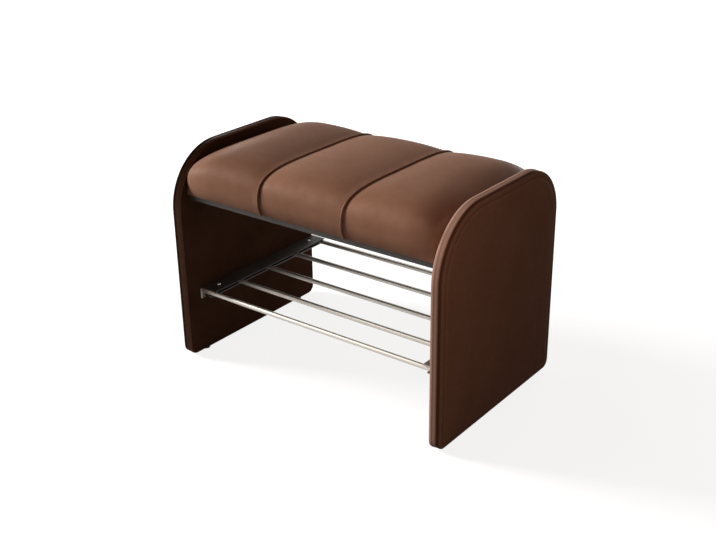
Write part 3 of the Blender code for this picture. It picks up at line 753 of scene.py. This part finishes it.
def pad_spot(across, up):
    """A point (y, z) of the pad's face from a spot of the unit square, which takes on the rim's outline."""
    half = Vector((RIM_HIGH.y, (RIM_HIGH.z - RIM_LOW.z) / 2))
    middle = Vector((0, (RIM_HIGH.z + RIM_LOW.z) / 2))
    ring = max(abs(across), abs(up))
    if ring == 0:
        return middle
    out = Vector((across * half.x, up * half.y)) / ring
    low, high = 0.0, 1.0
    for _ in range(PAD_EDGE_TRIALS):
        trial = (low + high) / 2
        spot = middle + out * trial
        if rim_distance(spot.x, spot.y) > PAD_SETBACK:
            low = trial
        else:
            high = trial
    return middle + out * low * ring


def crowded(value):
    """Moves rows of the unit square closer together towards its edges."""
    return math.copysign(1 - (1 - abs(value)) ** PAD_EDGE_POWER, value)


def pad_sheet(word, side):
    """The open leather of one pad before it is filled: a flat face with a round shoulder to its edge."""
    bm = bmesh.new()
    bmesh.ops.create_grid(bm, x_segments=PAD_CELLS, y_segments=PAD_CELLS, size=1.0)
    for vert in bm.verts:
        spot = pad_spot(crowded(vert.co.x), crowded(vert.co.y))
        inside = rim_distance(spot.x, spot.y) - PAD_SETBACK
        drop = round_off(inside, PAD_ROLL) + PAD_DOME * (1 - smooth_step(inside / PAD_SHOULDER))
        drop += CHANNEL_DEPTH * bell(inside, CHANNEL_INSET, CHANNEL_WIDTH)
        vert.co = Vector((side * (PAD_HIGH.x - drop), spot.x, spot.y))
    if side < 0:
        bmesh.ops.reverse_faces(bm, faces=bm.faces[:])

    def holds(point):
        return 1 - smooth_step((rim_distance(point.y, point.z) - PAD_SETBACK) / (2 * PAD_SHOULDER))

    return new_sheet(f"side_pad_{word}", bm, holds)


def finish_pad(sheet, word, side):
    """Closes a filled pad with a flat back against the panel's board."""
    name = sheet.name
    bm = refined(sheet)
    wear_and_painted_light = bm.verts.layers.float.new("wear_and_painted_light")
    for vert in bm.verts:
        inside = rim_distance(vert.co.y, vert.co.z) - PAD_SETBACK
        # painted highlight on the rolled edge, over patchy rubbing, and on the channel's lip
        edge = 1 - smooth_step(abs(inside - PAD_ROLL) / PAD_ROLL)
        lip = bell(inside, CHANNEL_INSET + 2 * CHANNEL_WIDTH, CHANNEL_WIDTH)
        # painted shade in the seam and in the channel
        seam = 1 - smooth_step(inside / SEAM_PAINTED_SHADE_REACH)
        channel = bell(inside, CHANNEL_INSET, CHANNEL_WIDTH)
        lightened = PAD_EDGE_RUB_AND_HIGHLIGHT * edge * patchy(vert.co, PAD_PATCH) + PAD_LIP_PAINTED_HIGHLIGHT * lip
        vert[wear_and_painted_light] = lightened - PAD_SEAM_PAINTED_SHADE * seam - PAD_CHANNEL_PAINTED_SHADE * channel
    pull_edges(bm, open_edges(bm), lambda co: Vector((side * PAD_LOW.x, co.y, co.z)))
    close_mesh(bm)
    piece = make_piece(name, bm, PAD_LEATHER, "leather", f"side_cover_{word}", f"side_foam_{word}")


def band_profile():
    """Closed outline (across the rim, out of the rim) of the edge band: crowned, with round edges."""
    width = RIM_HIGH.x - RIM_LOW.x
    turns = [math.pi / 2 * step / BAND_STEPS for step in range(BAND_STEPS + 1)]
    inner = [(BAND_INNER_ROUND * (1 - math.cos(t)), BAND_FALL * (math.sin(t) - 1)) for t in turns]
    outer = [(width - BAND_SEAM_ROUND * (1 - math.sin(t)), BAND_FALL * (math.cos(t) - 1)) for t in turns]
    middle = []
    for step in range(1, BAND_STEPS + 1):
        share = step / (BAND_STEPS + 1)
        across = inner[-1][0] + (outer[0][0] - inner[-1][0]) * share
        middle.append((across, BAND_CROWN * 4 * share * (1 - share)))
    return inner + middle + outer + [(width, -BAND_THICK), (0, -BAND_THICK)]


def make_edge_band(word, side):
    """The leather band around a panel's rim: its profile, carried along the sides and round the corners."""
    bm = bmesh.new()
    foot, top, reach = RIM_LOW.z, RIM_HIGH.z, RIM_HIGH.y
    verts = [bm.verts.new((side * (RIM_LOW.x + across), 0, foot - out)) for across, out in band_profile()]
    edges = [bm.edges.new(pair) for pair in zip(verts, verts[1:] + verts[:1])]
    corners = [(1, foot, FOOT_RADIUS, RIM_FOOT_STEPS), (1, top, REAR_RADIUS, RIM_CORNER_STEPS),
               (-1, top, FRONT_RADIUS, RIM_CORNER_STEPS), (-1, foot, FOOT_RADIUS, RIM_FOOT_STEPS)]
    spot = Vector((0, 0, foot))
    stops = []
    for end, level, radius, steps in corners:
        centre = Vector((0, end * (reach - radius), level + radius if level == foot else level - radius))
        stops.append((centre, radius, steps))
    heading = Vector((0, 1, 0))
    for centre, radius, steps in stops + [(None, 0, 0)]:
        goal = centre if centre else Vector((0, 0, foot))
        run = (goal - spot).dot(heading)
        count = max(1, round(run / RIM_STEP))
        for _ in range(count):
            verts, edges = grow(bm, edges)
            bmesh.ops.translate(bm, verts=verts, vec=heading * (run / count))
        spot = spot + heading * run
        if centre:
            last = bmesh.ops.spin(bm, geom=edges + verts, cent=centre, axis=(1, 0, 0), angle=math.pi / 2,
                                  steps=steps)["geom_last"]
            verts, edges = only(bmesh.types.BMVert, last), only(bmesh.types.BMEdge, last)
            quarter = Matrix.Rotation(math.pi / 2, 3, "X")
            heading = quarter @ heading
            spot = centre + quarter @ (spot - centre)
    bmesh.ops.remove_doubles(bm, verts=bm.verts[:], dist=RIM_MERGE)
    close_mesh(bm)
    wear_and_painted_light = bm.verts.layers.float.new("wear_and_painted_light")
    for vert in bm.verts:
        at_edge = smooth_step(1 - abs(abs(vert.co.x) - RIM_LOW.x) / BAND_EDGE_REACH)
        # painted shade along the pad's seam
        at_seam = smooth_step(1 - abs(abs(vert.co.x) - RIM_HIGH.x) / (2 * SEAM_PAINTED_SHADE_REACH))
        # Painted light: the right-hand band is painted paler all over, as if lit; rubbing pales its lining
        # edge
        lightened = BAND_RUB_AND_PAINTED_LIGHT[word] + BAND_EDGE_RUB * at_edge * patchy(vert.co, BAND_PATCH)
        vert[wear_and_painted_light] = lightened * (1 - at_seam) - BAND_SEAM_PAINTED_SHADE * at_seam
    make_piece(f"edge_band_{word}", bm, PAD_LEATHER, "leather", f"side_edge_band_{word}")


# Seat frame, shelf and fasteners


def make_rail(node, along):
    """A flat steel tube with round corners and open ends, along X or Y."""
    bm = node_box(node)
    axis = "xy".index(along)
    bmesh.ops.delete(bm, geom=[f for f in bm.faces if abs(f.normal[axis]) > 0.5], context="FACES")
    round_edges(bm, [e for e in bm.edges if not e.is_boundary], RAIL_ROUND, RAIL_ROUND_STEPS)
    bmesh.ops.recalc_face_normals(bm, faces=bm.faces[:])
    bmesh.ops.solidify(bm, geom=bm.faces[:], thickness=RAIL_WALL)
    bmesh.ops.recalc_face_normals(bm, faces=bm.faces[:])
    make_piece(node.replace("seat_", "steel_"), bm, GUNMETAL, "gunmetal", node)


def make_bracket(word, side):
    """The angle that carries the tubes: two flanges, a round bend and broken edges."""
    node = f"shelf_bracket_{word}"
    low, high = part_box(node)
    wall = side * max(abs(low.x), abs(high.x))
    free = side * min(abs(low.x), abs(high.x))
    outline = [(wall, low.z), (wall, high.z), (free, high.z), (free, high.z - BRACKET_THICK),
               (wall - side * BRACKET_THICK, high.z - BRACKET_THICK), (wall - side * BRACKET_THICK, low.z)]
    bm = bmesh.new()
    face = bm.faces.new([bm.verts.new((x, low.y, z)) for x, z in outline])
    grown = bmesh.ops.extrude_face_region(bm, geom=[face])["geom"]
    bmesh.ops.translate(bm, vec=(0, high.y - low.y, 0), verts=only(bmesh.types.BMVert, grown))
    bmesh.ops.recalc_face_normals(bm, faces=bm.faces[:])
    for corner, radius in ((outline[1], BRACKET_BEND), (outline[4], BRACKET_BEND - BRACKET_THICK)):
        bend = [e for e in bm.edges
                if all((v.co.xz - Vector(corner)).length < MERGE for v in e.verts)]
        round_edges(bm, bend, radius, BEND_STEPS)
    break_edges(bm)
    for y in (low.y + BARE_END, high.y - BARE_END):
        bmesh.ops.bisect_plane(bm, geom=bm.verts[:] + bm.edges[:] + bm.faces[:],
                               plane_co=(0, y, 0), plane_no=(0, 1, 0))
    wear_and_painted_light = bm.verts.layers.float.new("wear_and_painted_light")
    for vert in bm.verts:
        vert[wear_and_painted_light] = smooth_step(2 - 2 * min(vert.co.y - low.y, high.y - vert.co.y) / BARE_END)
    make_piece(f"steel_bracket_{word}", bm, GUNMETAL, "gunmetal", node)


def make_clamp_bar(word):
    """The flat bar that clamps the tubes up under the angle."""
    node = f"shelf_clamp_{word}"
    bm = node_box(node)
    break_edges(bm)
    make_piece(f"steel_clamp_{word}", bm, GUNMETAL, "gunmetal", node)


def make_tube(number):
    """A thin plated tube with its edges broken, open at both ends."""
    node = f"shelf_tube_{number}"
    low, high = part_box(node)
    half, bore = (high.x - low.x) / 2, TUBE_RADIUS - TUBE_WALL
    nick = EDGE_ROUND / 2
    profile = [(TUBE_RADIUS, half - nick), (TUBE_RADIUS, nick - half), (TUBE_RADIUS - nick, -half),
               (bore, -half), (bore, half), (TUBE_RADIUS - nick, half)]
    bm = turned(profile, pointing((low + high) / 2, (1, 0, 0)), closed=True)
    bmesh.ops.recalc_face_normals(bm, faces=bm.faces[:])
    make_piece(f"plated_tube_{number}", bm, CHROME, "bright_steel", node)


def drive_radius(turn, size, kind):
    """Distance from a screw's axis to the edge of its drive, at an angle."""
    if kind == "hex":
        return size / math.cos((turn + math.pi / 6) % (math.pi / 3) - math.pi / 6)
    width = size * CROSS_WIDTH
    c, s = max(abs(math.cos(turn)), 1e-6), max(abs(math.sin(turn)), 1e-6)
    return max(min(size / c, width / s), min(size / s, width / c))


def make_screw(node, direction, sizes, material, slot):
    """A screw whose head points in a direction, with a domed head and a hex or cross drive in it."""
    shank, head, height, kind = sizes
    low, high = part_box(node)
    direction = Vector(direction)
    length = abs((high - low).dot(direction))
    top = (low + high) / 2 + direction * length / 2
    place = pointing(top - direction * height, direction)
    tip = height - length
    # From the tip up the shank, then under the head and over its dome
    profile = [(0, tip), (shank * 0.4, tip), (shank, tip + shank), (shank, 0),
               (head * 0.96, 0), (head, height * 0.12), (head, height * 0.45),
               (head * 0.95, height * 0.72), (head * 0.82, height * 0.92), (head * HEAD_LAND, height)]
    bm = turned(profile, Matrix.Identity(4))

    def drive(taper, level):
        def to_drive(co):
            turn = math.atan2(co.y, co.x)
            reach = drive_radius(turn, head * DRIVE_SIZE, kind) * taper
            return Vector((reach * math.cos(turn), reach * math.sin(turn), level))
        return to_drive

    pull_edges(bm, open_edges(bm), drive(1.0, height))
    pull_edges(bm, open_edges(bm), drive(DRIVE_TAPER, height * (1 - DRIVE_DEPTH)))
    close_mesh(bm)
    bmesh.ops.transform(bm, matrix=place, verts=bm.verts[:])
    make_piece(f"{slot}_{node}", bm, material, slot, node)


def make_glide(node):
    """A nylon glide: a disc with round edges under the panel, and a spigot up in the board."""
    low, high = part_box(node)
    middle = Vector(((low.x + high.x) / 2, (low.y + high.y) / 2, low.z))
    disc, spigot, nick = GLIDE_RADIUS, SPIGOT_RADIUS, GLIDE_ROUND
    thick, top = RIM_LOW.z - FIT, high.z - low.z
    # From the middle of the foot, round the disc and up the spigot
    profile = [(0, 0), (disc - nick * 2, 0), (disc - nick * 0.6, nick * 0.4), (disc, nick * 1.4),
               (disc, thick - nick), (disc - nick, thick), (spigot, thick),
               (spigot, top - nick), (spigot - nick, top), (0, top)]
    bm = turned(profile, Matrix.Translation(middle))
    close_mesh(bm)
    make_piece(f"nylon_{node}", bm, NYLON, "nylon", node)


def make_soft_pieces():
    """Cushions and side pads are filled together, then closed one by one."""
    cushions = {word: cushion_sheet(word) for word in SEGMENTS}
    pads = {word: pad_sheet(word, side) for word, side in SIDES.items()}
    inflate([(sheet, CUSHION_SWELL) for sheet in cushions.values()]
            + [(sheet, PAD_SWELL) for sheet in pads.values()])
    for word, sheet in cushions.items():
        finish_cushion(sheet, word)
    for word, side in SIDES.items():
        finish_pad(pads[word], word, side)
        make_edge_band(word, side)
        make_piping(word)


def make_hard_pieces():
    """Steel frame, shelf and fasteners, and the CAD nodes that keep their shape."""
    for end in ("front", "rear"):
        make_rail(f"seat_{end}_rail", "x")
    for word, side in SIDES.items():
        make_rail(f"seat_end_rail_{word}", "y")
        make_rail(f"seat_cross_rail_{word}", "y")
        make_bracket(word, side)
        make_clamp_bar(word)
        for end in ("front", "rear"):
            make_screw(f"frame_screw_{word}_{end}", (-side, 0, 0), FRAME_SCREW, ZINC, "zinc")
            make_screw(f"bracket_screw_{word}_{end}", (-side, 0, 0), SMALL_SCREW, ZINC, "zinc")
            make_screw(f"clamp_screw_{word}_{end}", (0, 0, 1), SMALL_SCREW, CHROME, "bright_steel")
            make_glide(f"floor_glide_{word}_{end}")
        dress_node(f"side_core_{word}", PANEL_PLYWOOD)
        dress_node(f"side_lining_{word}", SHADED_LINING_LEATHER)
    for word in SEGMENTS:
        dress_node(f"seat_board_{word}", BOARD_PLYWOOD)
        for end in ("front", "rear"):
            make_screw(f"seat_screw_{word}_{end}", (0, 0, -1), SMALL_SCREW, ZINC, "zinc")
    for number in range(1, TUBES + 1):
        make_tube(number)
    dress_node("seat_dust_cover", DUST_CLOTH)


# Studio


def seen_directly(tree):
    """1 for what the camera sees, straight, mirrored or through glass, and 0 for light that bounces on."""
    path = add(tree, "ShaderNodeLightPath")
    seen = add(tree, "ShaderNodeMath", {0: path.outputs["Is Camera Ray"], 1: path.outputs["Is Glossy Ray"]},
               operation="MAXIMUM")
    return add(tree, "ShaderNodeMath", {0: seen.outputs[0], 1: path.outputs["Is Transmission Ray"]},
               operation="MAXIMUM").outputs[0]


def make_floor():
    """A plain white floor that keeps a soft shadow."""
    bm = bmesh.new()
    bmesh.ops.create_grid(bm, x_segments=1, y_segments=1, size=FLOOR_HALF)
    mesh = bpy.data.meshes.new("floor")
    bm.to_mesh(mesh)
    bm.free()
    made = bpy.data.materials.new("white_studio_floor")
    made.use_nodes = True
    tree = made.node_tree
    tree.nodes.remove(tree.nodes["Principled BSDF"])
    paint = add(tree, "ShaderNodeBsdfDiffuse", {"Color": (FLOOR_PAINT, FLOOR_PAINT, FLOOR_PAINT, 1.0)})
    spot = add(tree, "ShaderNodeTexCoord").outputs["Object"]
    far = add(tree, "ShaderNodeVectorMath", {0: spot}, operation="LENGTH").outputs["Value"]
    fade = add(tree, "ShaderNodeMapRange", {"Value": far, "From Min": FLOOR_NEAR, "From Max": FLOOR_FAR,
                                            "To Min": FLOOR_GLOW, "To Max": 1.0}).outputs["Result"]
    glow = add(tree, "ShaderNodeEmission", {"Color": (1, 1, 1, 1), "Strength": fade})
    both = add(tree, "ShaderNodeAddShader", {0: paint.outputs[0], 1: glow.outputs[0]})
    mix = add(tree, "ShaderNodeMixShader", {0: seen_directly(tree), 1: paint.outputs[0], 2: both.outputs[0]})
    tree.links.new(mix.outputs[0], tree.nodes["Material Output"].inputs["Surface"])
    mesh.materials.append(made)
    floor = bpy.data.objects.new("floor", mesh)
    bpy.context.scene.collection.objects.link(floor)


def make_world():
    """White where it is seen, and a low even light elsewhere."""
    world = bpy.data.worlds.new("studio")
    world.use_nodes = True
    tree = world.node_tree
    ambient = tree.nodes["Background"]
    ambient.inputs["Color"].default_value = colour(AMBIENT_TINT)
    ambient.inputs["Strength"].default_value = AMBIENT
    white = add(tree, "ShaderNodeBackground", {"Color": (1, 1, 1, 1), "Strength": 1.0})
    mix = add(tree, "ShaderNodeMixShader",
              {0: seen_directly(tree), 1: ambient.outputs[0], 2: white.outputs[0]})
    tree.links.new(mix.outputs[0], tree.nodes["World Output"].inputs["Surface"])
    bpy.context.scene.world = world


def make_lamp(name, place, target, size, power, tint):
    """A square softbox that faces a target."""
    light = bpy.data.lights.new(name, "AREA")
    light.size = size
    light.energy = power
    light.color = colour(tint)[:3]
    lamp = bpy.data.objects.new(name, light)
    lamp.matrix_world = pointing(place, Vector(place) - Vector(target))
    bpy.context.scene.collection.objects.link(lamp)
    return lamp


def flag_off(lamp, names, state="EXCLUDE"):
    """Keeps a lamp off some pieces, as a flag beside the lamp does, or with INCLUDE off all the others."""
    flagged = bpy.data.collections.new(f"flagged_from_{lamp.name}")
    for name in names:
        flagged.objects.link(bpy.data.objects[name])
    for entry in flagged.collection_objects:
        entry.light_linking.link_state = state
    lamp.light_linking.receiver_collection = flagged


def make_camera():
    """The photograph's view."""
    lens = bpy.data.cameras.new("photo_view")
    lens.sensor_width = SENSOR_WIDTH
    lens.lens = CAMERA_LENS
    camera = bpy.data.objects.new("photo_view", lens)
    turn = Matrix.Rotation(math.radians(CAMERA_AZIMUTH), 4, "Z")
    tilt = Matrix.Rotation(math.radians(90 - CAMERA_ELEVATION), 4, "X")
    roll = Matrix.Rotation(math.radians(CAMERA_ROLL), 4, "Z")
    back = (turn @ tilt).to_3x3() @ Vector((0, 0, CAMERA_DISTANCE))
    camera.matrix_world = Matrix.Translation(CAMERA_TARGET + back) @ turn @ tilt @ roll
    bpy.context.scene.collection.objects.link(camera)
    bpy.context.scene.camera = camera


make_soft_pieces()
make_hard_pieces()
make_floor()
make_world()
key = make_lamp("key_softbox", place=(-4.05, -1.20, 1.76), target=SEAT_MIDDLE, size=1.4, power=470,
                tint="#fffdfa")
flag_off(key, ["edge_band_left", "side_pad_left", "side_lining_left", "side_pad_right", "cushion_left"])
# The left cushion has a weaker key of its own, a little nearer the front
near_key = make_lamp("near_softbox", place=(-3.91, -1.64, 1.73), target=SEAT_MIDDLE, size=1.4, power=325,
                     tint="#fffdfa")
flag_off(near_key, ["cushion_left"], "INCLUDE")
make_lamp("back_softbox", place=(0.0, 2.2, 0.5), target=(0.0, 0.2, 0.3), size=1.0, power=22, tint="#fffaf5")
make_lamp("left_fill", place=(-1.9, 1.0, 0.55), target=(-0.325, 0.0, 0.25), size=0.8, power=12,
          tint="#fffaf5")
fill = make_lamp("right_fill", place=(0.72, -0.62, 0.80), target=(0.325, -0.10, 0.35), size=0.3, power=1.9,
                 tint="#ffdcc8")
flag_off(fill, ["side_lining_left", "edge_band_left"])
make_camera()
bpy.context.scene.view_settings.view_transform = "Standard"
